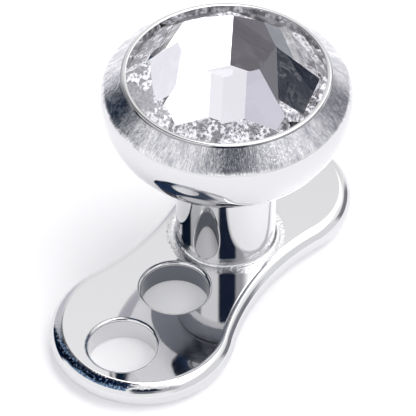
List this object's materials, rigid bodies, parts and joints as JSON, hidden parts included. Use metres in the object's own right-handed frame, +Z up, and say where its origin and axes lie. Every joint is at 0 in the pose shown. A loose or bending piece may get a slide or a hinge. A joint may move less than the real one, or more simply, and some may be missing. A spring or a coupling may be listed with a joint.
{
  "type": "dermal anchor with gem top",
  "caption": "Polished dermal anchor: a rounded foot plate with tissue holes, a riser and a screw-in round head whose bezel holds a clear faceted gem.",
  "frame": {"origin": "on the riser's axis, in the plane of the foot plate's underside", "axes": "+Z up along the riser to the gem, -X along the foot plate towards the toe with the tissue holes, +Y completes the frame"},
  "size_m": [0.0066, 0.004, 0.0046],
  "materials": {
    "polished_steel": "mirror polished surgical steel",
    "brushed_steel": "polished bowl and lip with a radially brushed sloping band",
    "crystal": "clear faceted crystal with a foiled flat back"
  },
  "bodies": {
    "anchor": {"anchor_base": "polished_steel"},
    "top": {"bezel_cup": "brushed_steel", "gem": "crystal"}
  },
  "joints": [
    {"name": "top_unscrew", "type": "slide", "parent": "anchor", "child": "top", "axis": [0, 0, 1], "range_m": [0, 0.0025]}
  ]
}
